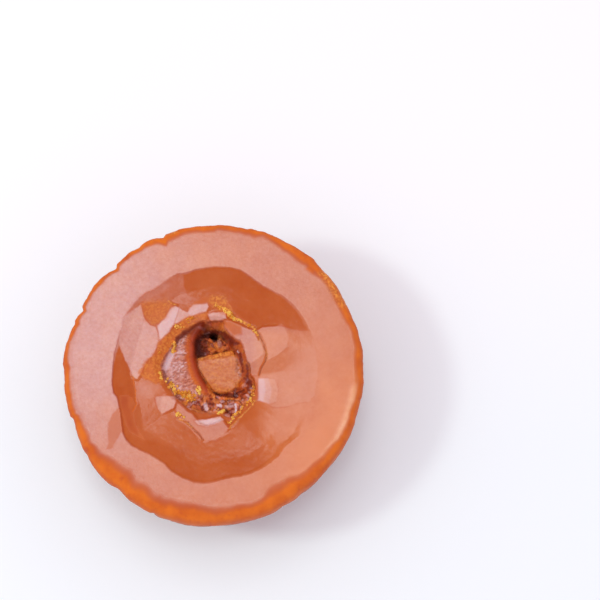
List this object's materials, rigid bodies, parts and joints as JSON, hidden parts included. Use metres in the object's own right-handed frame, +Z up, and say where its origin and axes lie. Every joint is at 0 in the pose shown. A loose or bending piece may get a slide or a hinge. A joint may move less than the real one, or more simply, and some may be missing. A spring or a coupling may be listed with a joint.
{
  "type": "jaggery block",
  "caption": "Block of unrefined sugar set in half a coconut shell: creased dome below, flat set face with a shallow dish and a broken pit on top.",
  "frame": {"origin": "middle of the footprint, on the surface the block rests on", "axes": "+Z up from the flat spot under the dome to the set face; +Y to the side of the set face where the pit is deepest; +X to the right of that"},
  "size_m": [0.0992, 0.1014, 0.048],
  "materials": {
    "jaggery": "waxy satin sugar, orange-brown with a pale bloom on the set face"
  },
  "bodies": {
    "root": {"jaggery_block": "jaggery"}
  },
  "joints": []
}
